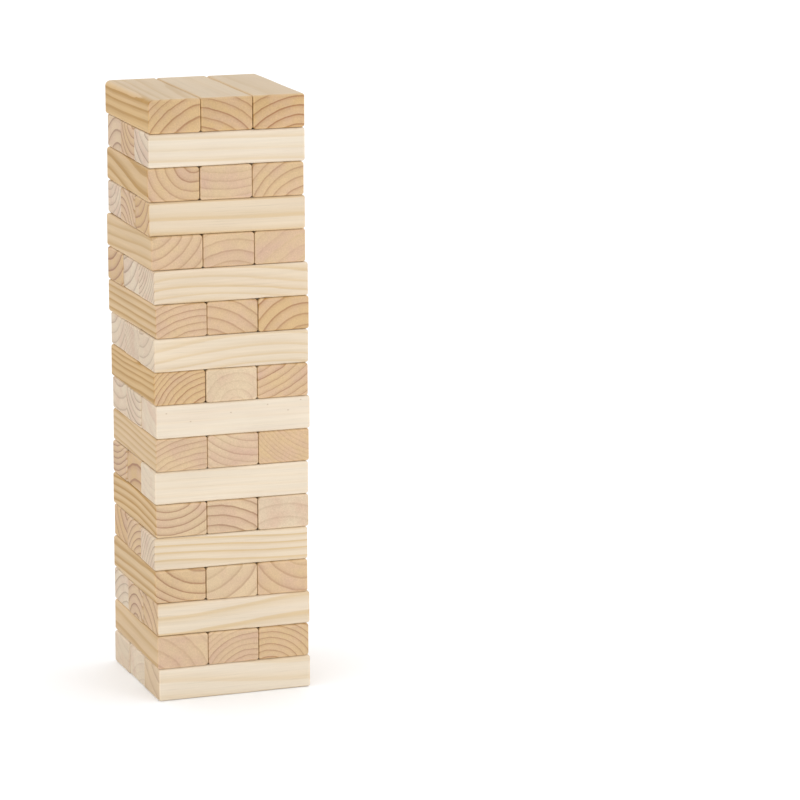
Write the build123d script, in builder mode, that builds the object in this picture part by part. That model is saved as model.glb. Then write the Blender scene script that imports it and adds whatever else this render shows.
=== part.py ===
from build123d import *
import math
import os

# Giant tumbling tower: 54 plain pine blocks, three to a layer, each layer laid
# crosswise on the one below.  All sizes are in millimetres.  The origin is the
# middle of the footprint, on the ground, with +Z up.  -Y is the front.

# ---- driving dimensions ----
BLOCK_LENGTH = 180.0          # three block widths
BLOCK_WIDTH = 59.5            # sawn to 60, planed
LAYER_PITCH = 38.0            # height that one layer takes up
SEAT_PLAY = 0.05              # play that lets a block slide between its layers
SIDE_GAP = 0.5                # gap between neighbours in a layer
LONG_EDGE_RADIUS = 2.8        # planed round-over along the block
END_EDGE_RADIUS = 2.0         # sanded round-over about each end
LAYERS = 18

BLOCK_THICKNESS = LAYER_PITCH - SEAT_PLAY
SIDE_PITCH = BLOCK_WIDTH + SIDE_GAP

# ---- how true each layer sits, bottom layer first ----
# (moved right, moved back, turned anticlockwise in degrees)
LAYER_PLAY = [
    (1.0, 1.0, 0.5),
    (0.0, 0.0, 0.0),
    (0.5, 0.0, 0.0),
    (-0.5, 0.0, -0.5),
    (0.0, 0.0, -0.5),
    (0.5, 0.5, 0.0),
    (1.0, 0.5, -0.5),
    (1.5, 0.0, 0.0),
    (1.5, -1.5, 0.0),
    (0.0, -2.0, 0.0),
    (0.0, -3.0, 0.5),
    (0.0, -1.0, 1.5),
    (0.0, -0.5, 1.0),
    (-1.5, 1.5, 0.5),
    (-1.0, 1.0, -1.0),
    (-1.5, 1.5, -1.0),
    (-0.5, 1.0, -0.5),
    (-1.5, 1.0, 0.0),
]

# How far each block of a layer is pushed along its own length: the three
# places of an odd layer, front to back, then those of an even one, left to right.
# The pushes repeat every three layers.
ODD_PUSH = [(0.0, 0.5, -0.5), (0.5, -0.5, 0.0), (-0.5, 0.0, 1.0)]
EVEN_PUSH = [(0.0, 0.5, -0.5), (-0.5, 0.0, 0.5), (0.5, -0.5, 0.0)]

ODD_PLACES = ("front", "middle", "back")
EVEN_PLACES = ("left", "middle", "right")


def lay_plane(layer, place):
    """Plane at the underside of a block: its X runs along the block."""
    right, back, turn = LAYER_PLAY[layer - 1]
    along_x = layer % 2 == 1
    pushes = ODD_PUSH if along_x else EVEN_PUSH
    push = pushes[(layer // 2) % 3][place]
    across = (place - 1) * SIDE_PITCH
    heading = turn if along_x else turn + 90.0
    # places count front to back, or left to right, across the block's length
    side = across if along_x else -across
    angle = math.radians(heading)
    x = right + push * math.cos(angle) - side * math.sin(angle)
    y = back + push * math.sin(angle) + side * math.cos(angle)
    return Plane(
        origin=(x, y, (layer - 1) * LAYER_PITCH),
        x_dir=(math.cos(angle), math.sin(angle), 0),
        z_dir=(0, 0, 1),
    )


def end_plane(bed):
    """Plane across the block at its near end: its Y runs up the block."""
    start = bed.origin - bed.x_dir * (BLOCK_LENGTH / 2)
    middle = start + bed.z_dir * (BLOCK_THICKNESS / 2)
    return Plane(origin=middle, x_dir=bed.y_dir, z_dir=bed.x_dir)


def make_block(name, bed):
    """One block: a rounded batten cut to length, its two ends sanded."""
    with BuildPart() as block:
        with BuildSketch(end_plane(bed)):
            RectangleRounded(BLOCK_WIDTH, BLOCK_THICKNESS, LONG_EDGE_RADIUS)
        extrude(amount=BLOCK_LENGTH)
        along = Axis((0, 0, 0), tuple(bed.x_dir))
        ends = block.faces().sort_by(along)
        fillet(ends[0].edges() + ends[-1].edges(), END_EDGE_RADIUS)
    block.part.label = name
    export_step(block.part, f"parts/{name}.step")


os.makedirs("parts", exist_ok=True)

for layer in range(1, LAYERS + 1):
    places = ODD_PLACES if layer % 2 == 1 else EVEN_PLACES
    for place, word in enumerate(places):
        make_block(f"block_{layer:02d}_{word}", lay_plane(layer, place))
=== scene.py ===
import math
import random
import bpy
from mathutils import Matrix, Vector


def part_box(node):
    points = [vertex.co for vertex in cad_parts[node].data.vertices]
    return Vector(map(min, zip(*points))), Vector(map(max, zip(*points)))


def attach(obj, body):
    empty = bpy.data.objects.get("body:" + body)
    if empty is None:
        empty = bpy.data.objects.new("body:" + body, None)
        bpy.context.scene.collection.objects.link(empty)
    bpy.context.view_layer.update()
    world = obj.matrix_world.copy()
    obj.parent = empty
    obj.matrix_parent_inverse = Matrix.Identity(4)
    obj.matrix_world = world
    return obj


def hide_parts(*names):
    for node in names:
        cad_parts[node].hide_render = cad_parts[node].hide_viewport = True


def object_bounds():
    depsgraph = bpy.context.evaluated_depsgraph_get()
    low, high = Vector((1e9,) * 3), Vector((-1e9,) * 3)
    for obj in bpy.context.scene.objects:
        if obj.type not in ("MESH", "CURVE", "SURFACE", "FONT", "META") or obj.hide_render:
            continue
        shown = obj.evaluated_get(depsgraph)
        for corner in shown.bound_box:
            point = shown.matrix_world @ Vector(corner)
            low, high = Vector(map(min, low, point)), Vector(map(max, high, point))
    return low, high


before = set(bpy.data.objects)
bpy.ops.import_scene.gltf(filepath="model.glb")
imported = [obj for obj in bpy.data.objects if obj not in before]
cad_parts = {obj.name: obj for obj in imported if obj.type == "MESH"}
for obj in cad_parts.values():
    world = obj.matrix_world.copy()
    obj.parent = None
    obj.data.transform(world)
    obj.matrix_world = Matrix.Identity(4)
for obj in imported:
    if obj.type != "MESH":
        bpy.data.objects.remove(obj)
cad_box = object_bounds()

from types import SimpleNamespace

import bmesh
import bpy
from mathutils import Vector

MM = 0.001

# ---------------------------------------------------------------- the blocks' wood
# Each block is cut from its own piece of pine.  Seen at the end that faces out of
# the tower (the front for even layers, the left for odd ones), in millimetres:
#   pith right, pith up    where the tree's centre was, from the block's middle
#   rings, ring at         how far apart the growth rings are, and how high one of
#                          them crosses the upright line through the middle
#   lean, bow              how far the grain climbs over the length of the block, and
#                          how far it arches up half way along
#   gold, bold, pink       how golden, how strongly ringed and how pink the end is
WOOD = {
    "18_left": (43, -59, 11.5, -1, -3, 0, 0.90, 0.90, 0.2),
    "18_middle": (-37, -73, 10.5, 0, 0, 0, 0.95, 0.75, 0.2),
    "18_right": (24, -67, 10.5, 2, 0, 0, 1.00, 0.90, 0.2),
    "17_back": (20, -60, 14, 2, 0, 0, 0.50, 0.70, 0.4),
    "17_middle": (25, 42, 9.5, 4, 0, 0, 0.90, 0.90, 0.4),
    "17_front": (40, 74, 12, -3, -3, 0, 0.05, 0.55, 0.4),
    "16_left": (23, 25, 10.6, 0, 23, 0, 0.75, 0.75, 0.5),
    "16_middle": (0, 120, 9, 10, 0, 0, 0.60, 0.30, 0.5),
    "16_right": (40, -52, 10.5, 1, 0, 0, 0.75, 0.75, 0.3),
    "15_back": (-25, 42, 9, 7, 0, 0, 0.10, 0.55, 0.6),
    "15_middle": (-25, -45, 9, 3, 0, 0, 0.75, 0.85, 0.5),
    "15_front": (-30, 50, 12, 3, 0, 0, 1.00, 0.80, 0.1),
    "14_left": (-36, 41, 11, 8, -8, 0, 0.65, 0.65, 0.5),
    "14_middle": (5, -72, 12, -1, 0, 0, 0.65, 0.40, 0.6),
    "14_right": (60, -90, 12, 0, 0, 0, 0.65, 0.15, 0.5),
    "13_back": (-38, 80, 13, -2, 0, 0, 0.95, 0.85, 0.2),
    "13_middle": (-50, 80, 14, -6, 0, 0, 0.05, 0.50, 0.3),
    "13_front": (-50, 50, 6, 12, -8, 6, 0.10, 0.60, 0.3),
    "12_left": (30, -110, 7.5, 9, 0, 0, 0.70, 0.75, 0.55),
    "12_middle": (-46, -90, 12, 5, 0, 0, 0.75, 0.60, 0.3),
    "12_right": (27, -48, 12, 5, 0, 0, 0.90, 0.90, 0.2),
    "11_back": (-30, 45, 11, 4, 0, 0, 0.05, 0.40, 0.2),
    "11_middle": (-60, -50, 5, 0, 0, 0, 0.10, 0.60, 0.3),
    "11_front": (-25, 50, 11, -5, 10, 6, 0.10, 0.45, 0.3),
    "10_left": (39, -49, 6, 6, -5, 0, 0.85, 1.00, 0.1),
    "10_middle": (5, -25, 9, 4, 0, 0, 0.35, 0.20, 0.2),
    "10_right": (-60, 110, 8, -3, 0, 0, 0.75, 0.80, 0.55),
    "09_back": (-5, 60, 14, -2, 0, 0, 0.10, 0.45, 0.4),
    "09_middle": (20, 48, 9, 6, 0, 0, 0.10, 0.65, 0.2),
    "09_front": (60, 120, 9, 0, 0, 0, 0.05, 0.12, 0.3),
    "08_left": (35, -110, 6.5, 10, 7, 0, 0.60, 0.55, 0.5),
    "08_middle": (25, 73, 8, 5, 0, 0, 0.45, 0.45, 0.6),
    "08_right": (60, 80, 4.5, 0, 0, 0, 0.75, 0.35, 0.3),
    "07_back": (-25, 90, 7, -5, 0, 0, 0.80, 1.00, 0.5),
    "07_middle": (19, -83, 17, 9, 0, 0, 1.00, 0.70, 0.1),
    "07_front": (20, 110, 9, 0, -4, 0, 0.05, 0.15, 0.2),
    "06_left": (-13, 51, 9, 3, 0, 5, 0.55, 0.80, 0.3),
    "06_middle": (-25, -88, 11, 11, 0, 0, 0.50, 0.85, 0.5),
    "06_right": (0, -70, 15, 10, 0, 0, 0.20, 0.20, 0.2),
    "05_back": (40, 50, 14, 13, 0, 0, 1.00, 0.70, 0.3),
    "05_middle": (36, -62, 8, 4, 0, 0, 0.80, 0.85, 0.3),
    "05_front": (70, -60, 7, 5, -6, 0, 0.15, 0.55, 0.4),
    "04_left": (25, 58, 13, 6, -6, 0, 0.70, 1.00, 0.2),
    "04_middle": (-44, 56, 15, 4, 0, 0, 0.50, 0.45, 0.0),
    "04_right": (30, 51, 14, -10, 0, 0, 0.70, 0.45, 0.3),
    "03_back": (30, -70, 10, 5, 0, 0, 0.05, 0.50, 0.2),
    "03_middle": (4, -32, 10.5, 9, 0, 0, 0.65, 0.90, 0.4),
    "03_front": (-50, -78, 13, 9, 14, 0, 0.80, 0.65, 0.1),
    "02_left": (-60, -60, 14, 0, 6, 0, 0.55, 0.30, 0.6),
    "02_middle": (23, -50, 6, 10, 0, 0, 0.60, 0.55, 0.7),
    "02_right": (-19, -45, 7, 10, 0, 0, 0.75, 0.85, 0.3),
    "01_back": (30, 80, 12, 0, 0, 0, 0.10, 0.15, 0.3),
    "01_middle": (40, -80, 9, 0, 0, 0, 0.00, 0.10, 0.0),
    "01_front": (50, 90, 20, -6, -12, 0, 0.45, 0.35, 0.1),
}

# Blocks whose rings get closer together away from the pith, and the others.
TIGHTER = {"18_left": 0.25, "10_left": 0.08, "04_left": 0.27, "11_front": 0.15}
HARDLY_TIGHTER = 0.02
LEFT_BOLDER = 1.6       # the rings of odd layers' ends stand out this much more

# The long side of a block that shows at the left or the front: how golden and how
# strongly striped it is.
LONG_SIDE = {
    "18_left": (0.92, 1.00),
    "17_front": (0.00, 0.30),
    "16_left": (0.85, 0.95),
    "15_front": (0.22, 0.45),
    "14_left": (0.68, 0.60),
    "13_front": (0.20, 0.40),
    "12_left": (0.72, 0.80),
    "11_front": (0.15, 0.45),
    "10_left": (0.88, 1.00),
    "09_front": (0.00, 0.08),
    "08_left": (0.66, 0.55),
    "07_front": (0.05, 0.15),
    "06_left": (0.80, 0.80),
    # The front sides of layers 05, 03 and 01 are set less golden and so paler, partly for
    # their wood and partly as painted light against the shade near the floor.
    "05_front": (0.16, 0.60),
    "04_left": (0.70, 0.90),
    "03_front": (0.08, 0.50),
    "02_left": (0.68, 0.45),
    "01_front": (0.00, 0.30),
}

# The same for the upper sides of the top layer, their gold set partly as painted shade,
# and how much painted shade darkens all three.
TOP_LAYER = "18"
TOP_SIDE = {"left": (0.50, 0.40), "middle": (0.40, 0.15), "right": (0.45, 0.25)}
# Painted shade: the top layer's upper sides are darkened in colour, as less light falls on
# them.
TOP_PAINTED_SHADE = -0.75        # under 0 is darker than the rest of the wood

# Every other long side takes after its block's own end: a least amount, and what the
# end's amount is multiplied by on top of it, for gold and for stripes.
UNSEEN_EVEN = ((0.35, 0.45), (0.20, 0.55))
UNSEEN_ODD = ((0.05, 0.25), (0.10, 0.45))

# Small brown specks on the front of one pale block: along from its left end, and up.
SPECKED = "09_front"
SPECKS = ((12, 10), (40, -1), (87, 6), (130, 12), (154, 4), (169, 15))
SPECK_SIDE = 30.0       # how far from the block's middle its front side is

# Long edges planed rounder than the rest, in millimetres, in the order of
# LONG_EDGES below.
ROUNDER = {"18_left": {1: 6.0}}

LONG_EDGES = ((1, 1), (-1, 1), (-1, -1), (1, -1))   # signs of right, up


# ---------------------------------------------------------------- shaping a block
CORNER_STEPS = 5            # facets round a long edge
END_STEPS = 5               # facets round an end edge
BODY_STEPS = 44             # steps along the block between its end edges

# Sizes in millimetres; of a pair, the least and the most.
TRIM = 0.02                 # off the length and the width, to stay in the CAD box
LONG_RADIUS = (2.9, 3.7)    # rounding of the long edges
SIDE_RADIUS = (1.3, 1.9)    # rounding of an end towards the two sides
FLAT_RADIUS = (2.4, 3.2)    # rounding of an end towards the top and the underside
LEAST_RADIUS = 0.6          # what a long edge keeps of its rounding at the ends
EDGE_WAVE = 0.10            # share by which a long edge's rounding swells and shrinks
WAVE_TURN = 9               # radians that this wave goes through along a block
WAVE_START = (0, 6.28)      # radians at which it starts
DENTS = 5                   # small knocks along the edges of a block
DENT_LENGTH = (2.0, 5.0)
DENT_DEPTH = (0.15, 0.5)


class Cut:
    """Where a block lies: its middle, its size and its three directions."""

    def __init__(self, name, node):
        lo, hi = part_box(name)
        self.middle = (lo + hi) / 2
        side = max(
            (p for p in node.data.polygons if abs(p.normal.z) < 0.1),
            key=lambda p: p.area,
        )
        across = Vector((side.normal.x, side.normal.y, 0)).normalized()
        along = Vector((-across.y, across.x, 0))
        if along.x + along.y < 0:
            along = -along
        self.inward = along
        self.right = Vector((along.y, -along.x, 0))
        self.up = Vector((0, 0, 1))
        self.even = abs(along.y) > abs(along.x)
        points = [v.co - self.middle for v in node.data.vertices]
        self.length = 2 * max(p.dot(along) for p in points) - TRIM * MM
        self.width = 2 * max(p.dot(self.right) for p in points) - TRIM * MM
        self.height = 2 * max(p.z for p in points)

    def place(self, right, up, inward):
        return self.middle + self.right * right + self.up * up + self.inward * inward


def stations(cut, reach):
    """Places along the block, from its middle, close together round its ends."""
    half = cut.length / 2
    drops = [
        reach * (1 - math.cos(math.pi / 2 * i / END_STEPS))
        for i in range(END_STEPS + 1)
    ]
    inner = half - reach
    body = [-inner + 2 * inner * i / BODY_STEPS for i in range(1, BODY_STEPS)]
    return [-half + d for d in drops] + body + [half - d for d in reversed(drops)]


def round_in(distance, radius):
    """How far a rounded edge draws the side in, this far from the end."""
    if distance >= radius:
        return 0.0
    return radius - math.sqrt(radius * radius - (radius - distance) ** 2)


class Edges:
    """How the edges of one block are rounded, uneven and dented."""

    def __init__(self, name, cut, rng):
        self.radii = [rng.uniform(*LONG_RADIUS) * MM for _ in LONG_EDGES]
        for edge, radius in ROUNDER.get(name, {}).items():
            self.radii[edge] = radius * MM
        self.end_side = rng.uniform(*SIDE_RADIUS) * MM
        self.end_flat = rng.uniform(*FLAT_RADIUS) * MM
        self.phase = [rng.uniform(*WAVE_START) for _ in LONG_EDGES]
        self.dents = [
            (
                rng.randrange(len(LONG_EDGES)),
                rng.uniform(-0.5, 0.5) * cut.length,
                rng.uniform(*DENT_LENGTH) * MM,
                rng.uniform(*DENT_DEPTH) * MM,
            )
            for _ in range(DENTS)
        ]

    def dent(self, edge, s):
        """How deep a long edge is dented at this place along the block."""
        return sum(
            depth * math.exp(-(((s - at) / span) ** 2))
            for e, at, span, depth in self.dents
            if e == edge
        )

    def turned(self, angle):
        """How far from the end its rounding starts, on a side facing this way."""
        c, s = math.cos(angle), math.sin(angle)
        return self.end_side * c ** 2 + self.end_flat * s ** 2


def outline(cut, edges, s):
    """Points round the block at one place along it.

    Each is (right, up, along, how near the middle of a long edge, angle it faces).
    """
    gap = cut.length / 2 - abs(s)
    draw_u = round_in(gap, edges.end_side)
    draw_v = round_in(gap, edges.end_flat)
    hu = cut.width / 2 - draw_u
    hv = cut.height / 2 - draw_v
    points = []
    for k, (su, sv) in enumerate(LONG_EDGES):
        wave = 1 + EDGE_WAVE * math.sin(s / cut.length * WAVE_TURN + edges.phase[k])
        r = max(edges.radii[k] * wave - max(draw_u, draw_v), LEAST_RADIUS * MM)
        dent = edges.dent(k, s)
        for i in range(CORNER_STEPS + 1):
            angle = k * math.pi / 2 + math.pi / 2 * i / CORNER_STEPS
            mid = math.sin(math.pi * i / CORNER_STEPS)
            reach = r - dent * mid
            u = su * (hu - r) + reach * math.cos(angle)
            v = sv * (hv - r) + reach * math.sin(angle)
            points.append((u, v, s, mid, angle))
    return points


def shape_block(name, cut, edges):
    """Mesh of one block, and its points as outline() gives them."""
    bm = bmesh.new()
    rings = []
    local = []
    for s in stations(cut, max(edges.end_side, edges.end_flat)):
        points = outline(cut, edges, s)
        rings.append([bm.verts.new(cut.place(p[0], p[1], p[2])) for p in points])
        local.extend(points)
    for a, b in zip(rings, rings[1:]):
        for i in range(len(a)):
            j = (i + 1) % len(a)
            bm.faces.new((a[i], a[j], b[j], b[i]))
    bm.faces.new(list(reversed(rings[0])))
    bm.faces.new(rings[-1])
    bmesh.ops.recalc_face_normals(bm, faces=bm.faces)
    for f in bm.faces:
        f.smooth = True
    mesh = bpy.data.meshes.new("wood_" + name)
    bm.to_mesh(mesh)
    bm.free()
    return mesh, local


# ---------------------------------------------------------------- the grain's coordinates
# In the noise, the blocks lie this far from each other, in millimetres.
NEXT_UP = 97.0
NEXT_ALONG = 311.0
SEED_STEP = 1.7         # keeps the rings of one block from repeating on the next


def store(mesh, name, kind, values):
    """Keeps one value or vector for each point of the mesh."""
    layer = mesh.attributes.new(name, kind, "POINT")
    flat = []
    for v in values:
        flat.extend(v if kind == "FLOAT_VECTOR" else (v,))
    layer.data.foreach_set("vector" if kind == "FLOAT_VECTOR" else "value", flat)


def sides(name, even):
    """Gold and stripes of the right, upper, left and lower sides of a block."""
    end = WOOD[name][6:8]
    like_end = UNSEEN_EVEN if even else UNSEEN_ODD
    unseen = tuple(least + more * value for (least, more), value in zip(like_end, end))
    found = [unseen] * 4
    if name in LONG_SIDE:
        found[2 if even else 0] = LONG_SIDE[name]
    if name.startswith(TOP_LAYER):
        found[1] = TOP_SIDE[name.split("_")[1]]
    return found


def side_look(name, found, angle):
    """Gold, stripes and painted shade of a surface facing this angle, round from right."""
    c, s = math.cos(angle), math.sin(angle)
    shares = (max(c, 0) ** 2, max(s, 0) ** 2, max(-c, 0) ** 2, max(-s, 0) ** 2)
    gold = sum(share * look[0] for share, look in zip(shares, found))
    show = sum(share * look[1] for share, look in zip(shares, found))
    # painted shade on the upper sides of the top layer
    painted_light_and_wear = TOP_PAINTED_SHADE * shares[1] if name.startswith(TOP_LAYER) else 0.0
    return gold, show, painted_light_and_wear


def noise_place(right, up, along, number):
    """Where a point of this block is in the noise, in millimetres."""
    return (right, up + NEXT_UP * number, along + NEXT_ALONG * number)


def grain(mesh, name, cut, local, edges, number):
    """Writes the grain's coordinates, in millimetres, from the outward end."""
    pith_u, pith_v, rings, ring_at, lean, bow, gold, bold, pink = WOOD[name]
    first = math.hypot(pith_u, ring_at - pith_v)
    found = sides(name, cut.even)
    if not cut.even:
        bold = bold * LEFT_BOLDER
    wood, ring, end, side = [], [], [], []
    for u, v, s, mid, angle in local:
        depth = s + cut.length / 2
        share = depth / cut.length
        rise = lean * share * share * (3 - 2 * share) + bow * 4 * share * (1 - share)
        wood.append(noise_place(u / MM, v / MM, depth / MM, number))
        ring.append((u / MM - pith_u, v / MM - pith_v - rise, rings))
        gap = cut.length / 2 - abs(s)
        turned = edges.turned(angle)
        end.append(max(0.0, 1 - gap / turned) ** 1.5)
        # edge: 1 on rounded edges, which come out lighter, partly as sanded fresh wood and
        # partly as a painted highlight
        edge = 0.0 if gap < 1e-7 else max(mid, 1.0 if gap < turned else 0.0)
        side_gold, show, painted_light_and_wear = side_look(name, found, angle)
        side.append((side_gold, show, edge + painted_light_and_wear))
    count = (first, TIGHTER.get(name, HARDLY_TIGHTER), number * SEED_STEP)
    store(mesh, "wood", "FLOAT_VECTOR", wood)
    store(mesh, "ring", "FLOAT_VECTOR", ring)
    store(mesh, "side", "FLOAT_VECTOR", side)
    store(mesh, "tone", "FLOAT_VECTOR", [(gold, bold, pink)] * len(local))
    store(mesh, "count", "FLOAT_VECTOR", [count] * len(local))
    store(mesh, "end", "FLOAT", end)


# ---------------------------------------------------------------- the pine material
def srgb(r, g, b):
    """A colour given as 0 to 255, as the shader wants it."""
    def lin(c):
        c /= 255
        return c / 12.92 if c <= 0.04045 else ((c + 0.055) / 1.055) ** 2.4
    return (lin(r), lin(g), lin(b), 1)


class Graph:
    """Short ways to add shader nodes."""

    def __init__(self, tree):
        self.tree = tree

    def node(self, kind, **settings):
        made = self.tree.nodes.new(kind)
        for key, value in settings.items():
            setattr(made, key, value)
        return made

    def join(self, value, socket):
        if isinstance(value, bpy.types.NodeSocket):
            self.tree.links.new(value, socket)
        else:
            socket.default_value = value

    def read(self, name, out="Vector"):
        return self.node("ShaderNodeAttribute", attribute_name=name).outputs[out]

    def math(self, op, a, b=None, c=None, clamp=False):
        made = self.node("ShaderNodeMath", operation=op, use_clamp=clamp)
        for value, socket in zip((a, b, c), made.inputs):
            if value is not None:
                self.join(value, socket)
        return made.outputs[0]

    def vector(self, op, a, b=None):
        made = self.node("ShaderNodeVectorMath", operation=op)
        self.join(a, made.inputs[0])
        if b is not None:
            self.join(b, made.inputs[1])
        return made.outputs["Value" if op == "LENGTH" else "Vector"]

    def scale(self, a, factor):
        made = self.node("ShaderNodeVectorMath", operation="SCALE")
        self.join(a, made.inputs[0])
        self.join(factor, made.inputs["Scale"])
        return made.outputs[0]

    def split(self, a):
        made = self.node("ShaderNodeSeparateXYZ")
        self.join(a, made.inputs[0])
        return made.outputs

    def merge(self, x, y, z):
        made = self.node("ShaderNodeCombineXYZ")
        for value, socket in zip((x, y, z), made.inputs):
            self.join(value, socket)
        return made.outputs[0]

    def noise(self, at, stretch, detail=2.0, rough=0.5, out="Fac"):
        made = self.node("ShaderNodeTexNoise", noise_dimensions="3D")
        self.join(self.vector("MULTIPLY", at, stretch), made.inputs["Vector"])
        made.inputs["Scale"].default_value = 1.0
        made.inputs["Detail"].default_value = detail
        made.inputs["Roughness"].default_value = rough
        return made.outputs[out]

    def curve(self, fac, points):
        made = self.node("ShaderNodeValToRGB")
        ramp = made.color_ramp
        ramp.interpolation = "EASE"
        while len(ramp.elements) < len(points):
            ramp.elements.new(0.5)
        for element, (at, value) in zip(ramp.elements, points):
            element.position = at
            element.color = (value, value, value, 1)
        self.join(fac, made.inputs[0])
        return made.outputs[0]

    def mix(self, fac, a, b, mode="MIX"):
        made = self.node("ShaderNodeMix", data_type="RGBA", blend_type=mode)
        self.join(fac, made.inputs[0])
        self.join(a, made.inputs[6])
        self.join(b, made.inputs[7])
        return made.outputs[2]

    def blend(self, fac, a, b):
        made = self.node("ShaderNodeMix", data_type="FLOAT")
        self.join(fac, made.inputs[0])
        self.join(a, made.inputs[2])
        self.join(b, made.inputs[3])
        return made.outputs[0]


# The count of rings at the noted one: its fraction is where RING_LINE is dark.
NOTED_RING = 40.92
STRIPE_GAIN = 1.5       # how much a block's stripes are strengthened on its long sides

# Darkness from one ring to the next, as (place, value), on the long sides and the ends.
RING_STRIPE = [
    (0.0, 0.10), (0.30, 0.04), (0.62, 0.42), (0.84, 1.0), (0.94, 0.85), (1.0, 0.10),
]
RING_LINE = [
    (0.0, 0.04), (0.45, 0.05), (0.76, 0.28), (0.90, 1.0), (0.96, 0.9), (1.0, 0.04),
]

# Noise that bends the rings, as (stretch, millimetres).
RING_BENDS = (
    ((0.018, 0.018, 0.006), 5.0),
    ((0.10, 0.10, 0.010), 1.6),
    ((0.9, 0.9, 0.03), 0.4),
)


def block_values(g):
    """What each point of a block's mesh says about its wood."""
    gold, bold, pink = g.split(g.read("tone"))[:3]
    # the third side value: lighter edges, worn and with a painted highlight, and painted
    # shade on the top layer's upper sides
    side_gold, show, painted_light_and_wear = g.split(g.read("side"))[:3]
    first, tighter, seed = g.split(g.read("count"))[:3]
    return SimpleNamespace(
        wood=g.read("wood"), ring=g.read("ring"), end=g.read("end", "Fac"),
        gold=gold, bold=bold, pink=pink,
        side_gold=side_gold, show=show, painted_light_and_wear=painted_light_and_wear,
        first=first, tighter=tighter, seed=seed,
    )


def ring_steps(g, at):
    """How many rings out from the pith a point is, unevenly, as a number."""
    half = (0.5, 0.5, 0.5)
    du, dv, spacing = g.split(at.ring)[:3]
    flat = g.merge(du, dv, 0.0)
    for stretch, reach in RING_BENDS:
        push = g.noise(at.wood, stretch, 2.0, 0.5, "Color")
        push = g.vector("SUBTRACT", push, half)
        flat = g.vector("ADD", flat, g.scale(push, reach))
    fu, fv = g.split(flat)[:2]
    out = g.math("SUBTRACT", g.vector("LENGTH", g.merge(fu, fv, 0.0)), at.first)
    out = g.math("DIVIDE", out, spacing)
    grown = g.math("EXPONENT", g.math("MULTIPLY", out, at.tighter))
    grown = g.math("DIVIDE", g.math("SUBTRACT", grown, 1.0), at.tighter)
    return g.math("ADD", grown, NOTED_RING)


def late_wood(g, at):
    """How much dark late wood a point has, and a chance drawn for its ring."""
    away = ring_steps(g, at)
    step = g.math("FRACT", away)
    white = g.node("ShaderNodeTexWhiteNoise", noise_dimensions="1D")
    g.join(g.math("ADD", g.math("FLOOR", away), at.seed), white.inputs["W"])
    chance = white.outputs["Value"]
    strong = g.math("MULTIPLY_ADD", chance, 0.45, 0.60)
    stripe = g.curve(step, RING_STRIPE)
    stripe = g.math("MULTIPLY", stripe, g.math("MULTIPLY", at.show, STRIPE_GAIN))
    line = g.math("MULTIPLY", g.curve(step, RING_LINE), at.bold)
    late = g.blend(at.end, stripe, line)
    return g.math("MULTIPLY", late, strong, clamp=True), chance


def wood_colour(g, at, late, chance):
    """Early and late wood, with patches and rings pinker or more golden than others."""
    patch = g.noise(at.wood, (0.05, 0.05, 0.010), 2.0, 0.55)
    tint = g.math("MULTIPLY_ADD", g.math("SUBTRACT", patch, 0.5), 2.4, at.pink)
    tint = g.math("MULTIPLY_ADD", g.math("SUBTRACT", chance, 0.5), 0.6, tint)
    tint = g.math("MULTIPLY", tint, 0.65, clamp=True)
    rosy = g.math("MULTIPLY", tint, 0.22)
    rich = g.math("MULTIPLY", at.side_gold, 1.25, clamp=True)
    early_long = g.mix(at.side_gold, srgb(232, 218, 197), srgb(211, 171, 108))
    early_long = g.mix(rosy, early_long, srgb(216, 184, 160))
    late_long = g.mix(rich, srgb(218, 188, 138), srgb(177, 130, 40))
    early_end = g.mix(at.gold, srgb(224, 206, 180), srgb(212, 176, 124))
    early_end = g.mix(tint, early_end, srgb(210, 174, 150))
    late_end = g.mix(at.gold, srgb(152, 124, 100), srgb(160, 108, 64))
    on_long = g.mix(late, early_long, late_long)
    on_end = g.mix(late, early_end, late_end)
    return g.mix(at.end, on_long, on_end)


def wood_marks(g, at):
    """Fibres, saw marks, and shade from them, streaks, slow drift, edges with wear and
    painted highlight, and painted top shade.
    """
    drift = g.noise(at.wood, (0.022, 0.022, 0.007), 2.0, 0.5)
    streak = g.noise(at.wood, (0.45, 0.45, 0.008), 2.0, 0.5)
    fibre = g.noise(at.wood, (2.4, 2.4, 0.035), 3.0, 0.65)
    fleck = g.noise(at.wood, (0.9, 0.9, 0.014), 3.0, 0.7)
    fleck = g.curve(fleck, [(0.58, 0.0), (0.72, 1.0)])
    fleck = g.math("MULTIPLY", fleck, g.math("SUBTRACT", 1.0, at.end))
    pore = g.noise(at.wood, (0.75, 0.75, 0.2), 3.0, 0.7)
    pore = g.math("MULTIPLY", g.math("SUBTRACT", pore, 0.5), at.end)
    slant = g.merge(g.math("MULTIPLY", g.split(at.ring)[1], 0.35), 0.0, 0.0)
    saw = g.noise(g.vector("ADD", at.wood, slant), (0.9, 0.06, 0.0), 2.0, 0.6)
    saw = g.math("MULTIPLY", g.math("SUBTRACT", saw, 0.5), at.end)
    shade = g.math("MULTIPLY_ADD", drift, 0.14, 0.725)
    for value, much in ((streak, 0.16), (fibre, 0.14)):
        light = g.math("MULTIPLY_ADD", value, much, 1 - much / 2)
        shade = g.math("MULTIPLY", shade, light)
    # The third side value lightens rounded edges, partly worn wood and partly a painted
    # highlight, and darkens the top layer's upper sides, a painted shade.
    for value, much in ((saw, 0.10), (pore, 0.45), (at.painted_light_and_wear, 0.10), (fleck, -0.12)):
        light = g.math("MULTIPLY_ADD", value, much, 1.0)
        shade = g.math("MULTIPLY", shade, light)
    return fibre, saw, shade


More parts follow.
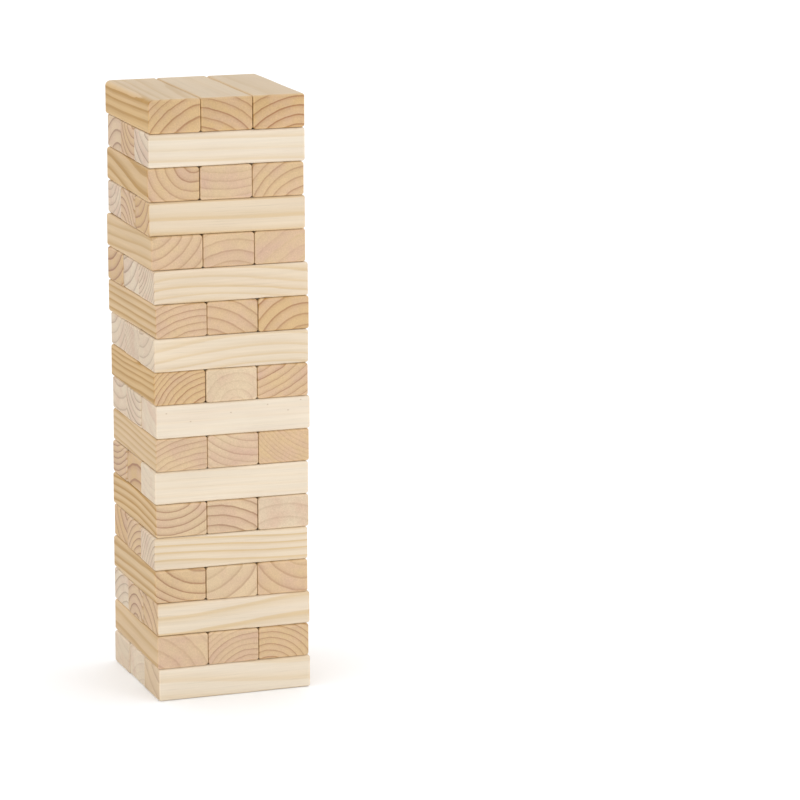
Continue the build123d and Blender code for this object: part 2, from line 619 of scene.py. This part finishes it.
def speckle(g, wood, number):
    """1 on the small specks of one block, 0 elsewhere."""
    dark = None
    for along, up in SPECKS:
        at = noise_place(SPECK_SIDE, up, along, number)
        off = g.vector("SUBTRACT", wood, at)
        off = g.vector("MULTIPLY", off, (0.4, 1.0, 0.7))
        spot = g.curve(g.vector("LENGTH", off), [(0.0, 1.0), (0.45, 0.7), (1.0, 0.0)])
        dark = spot if dark is None else g.math("MAXIMUM", dark, spot)
    return dark


def relief(g, late, fibre, saw, specks):
    """Bump of the surface: late wood and fibres stand up, specks are pits."""
    height = g.math("MULTIPLY_ADD", late, 0.5, g.math("MULTIPLY", fibre, 0.6))
    height = g.math("MULTIPLY_ADD", saw, 0.5, height)
    height = g.math("MULTIPLY_ADD", specks, -0.8, height)
    bump = g.node("ShaderNodeBump")
    bump.inputs["Strength"].default_value = 0.35
    bump.inputs["Distance"].default_value = 0.0002
    g.join(height, bump.inputs["Height"])
    return bump.outputs[0]


def pine(specked):
    """Planed pine, with specks on the block of this number."""
    mat = bpy.data.materials.new("pine")
    mat.use_nodes = True
    mat.node_tree.nodes.clear()
    g = Graph(mat.node_tree)
    at = block_values(g)
    late, chance = late_wood(g, at)
    fibre, saw, shade = wood_marks(g, at)
    specks = speckle(g, at.wood, specked)

    colour = wood_colour(g, at, late, chance)
    colour = g.mix(1.0, colour, g.merge(shade, shade, shade), "MULTIPLY")
    colour = g.mix(g.math("MULTIPLY", specks, 0.55), colour, srgb(140, 104, 76))
    rough = g.math("MULTIPLY_ADD", fibre, 0.16, 0.48)
    rough = g.math("MULTIPLY_ADD", late, -0.08, rough)

    shader = g.node("ShaderNodeBsdfPrincipled")
    shader.inputs["Specular IOR Level"].default_value = 0.35
    g.join(colour, shader.inputs["Base Color"])
    g.join(rough, shader.inputs["Roughness"])
    g.join(relief(g, late, fibre, saw, specks), shader.inputs["Normal"])
    out = g.node("ShaderNodeOutputMaterial")
    g.join(shader.outputs[0], out.inputs[0])
    return mat


# ---------------------------------------------------------------- making the tower
FIRST_SEED = 1000       # the blocks' own seeds count up from here


def make_blocks():
    """One batten of pine for each block of the CAD model, riding on its body."""
    names = sorted(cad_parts)
    mat = pine(names.index("block_" + SPECKED))
    for number, node_name in enumerate(names):
        name = node_name[len("block_"):]
        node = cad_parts[node_name]
        cut = Cut(node_name, node)
        edges = Edges(name, cut, random.Random(FIRST_SEED + number))
        mesh, local = shape_block(name, cut, edges)
        grain(mesh, name, cut, local, edges, number)
        mesh.materials.append(mat)
        piece = bpy.data.objects.new("pine_" + name, mesh)
        bpy.context.collection.objects.link(piece)
        soften = piece.modifiers.new("even normals", "WEIGHTED_NORMAL")
        soften.keep_sharp = False
        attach(piece, node_name)
        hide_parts(node_name)


make_blocks()


# ---------------------------------------------------------------- floor, light, camera
FLOOR_SIZE = 60                         # metres
FLOOR_COLOUR = (0.95, 0.96, 0.975, 1)
SKY_STRENGTH = 1.2
LIGHTS_LOWER = 0.22                     # metres under the tower's middle, where they aim

# Studio lights: name, degrees round from the front, degrees up, metres away, metres
# across, watts.
LIGHTS = (
    ("key", 30, 6, 1.6, 0.5, 3.8),
    ("fill", -70, 6, 2.2, 0.5, 1.8),
)


def plain(name, colour, rough):
    mat = bpy.data.materials.new(name)
    mat.use_nodes = True
    shader = mat.node_tree.nodes["Principled BSDF"]
    shader.inputs["Base Color"].default_value = colour
    shader.inputs["Roughness"].default_value = rough
    return mat


def make_floor():
    bpy.ops.mesh.primitive_plane_add(size=FLOOR_SIZE, location=(0, 0, 0))
    floor = bpy.context.object
    floor.name = "floor"
    floor.data.materials.append(plain("floor", FLOOR_COLOUR, 0.9))


def area_light(name, azimuth, elevation, distance, size, power, aim):
    a, e = math.radians(azimuth), math.radians(elevation)
    back = Vector((math.sin(a) * math.cos(e), -math.cos(a) * math.cos(e), math.sin(e)))
    light = bpy.data.lights.new(name, "AREA")
    light.shape = "DISK"
    light.size = size
    light.energy = power
    lamp = bpy.data.objects.new(name, light)
    lamp.location = aim + back * distance
    lamp.rotation_euler = back.to_track_quat("Z", "Y").to_euler()
    bpy.context.collection.objects.link(lamp)


def make_light(aim):
    world = bpy.data.worlds.new("studio")
    bpy.context.scene.world = world
    world.use_nodes = True
    back = world.node_tree.nodes["Background"]
    back.inputs[0].default_value = (1, 1, 1, 1)
    back.inputs[1].default_value = SKY_STRENGTH
    low = Vector((0, 0, -LIGHTS_LOWER))
    for settings in LIGHTS:
        area_light(*settings, aim + low)


# The camera stands to the left of the front and above the top of the tower.
VIEW_AZIMUTH = -16.57       # degrees round from the front
VIEW_DISTANCE = 4.297       # metres from the tower, level
VIEW_HEIGHT = 1.257         # metres over the ground
VIEW_DOWN = 12.26           # degrees that the camera looks down
VIEW_TURN = 19.49           # degrees right of straight ahead
VIEW_LENS = 173.3           # millimetres, on a 36 mm sensor


def make_camera():
    lo, hi = cad_box
    foot = Vector(((lo.x + hi.x) / 2, (lo.y + hi.y) / 2, lo.z))
    a = math.radians(VIEW_AZIMUTH)
    camera = bpy.data.objects.new("camera", bpy.data.cameras.new("camera"))
    camera.data.lens = VIEW_LENS
    camera.data.sensor_width = 36
    camera.location = foot + Vector(
        (math.sin(a) * VIEW_DISTANCE, -math.cos(a) * VIEW_DISTANCE, VIEW_HEIGHT)
    )
    camera.rotation_euler = (
        math.radians(90 - VIEW_DOWN), 0, math.radians(-VIEW_TURN)
    )
    bpy.context.collection.objects.link(camera)
    bpy.context.scene.camera = camera


make_floor()
make_light((cad_box[0] + cad_box[1]) / 2)
make_camera()
bpy.context.scene.view_settings.view_transform = "Standard"

bpy.context.view_layer.update()
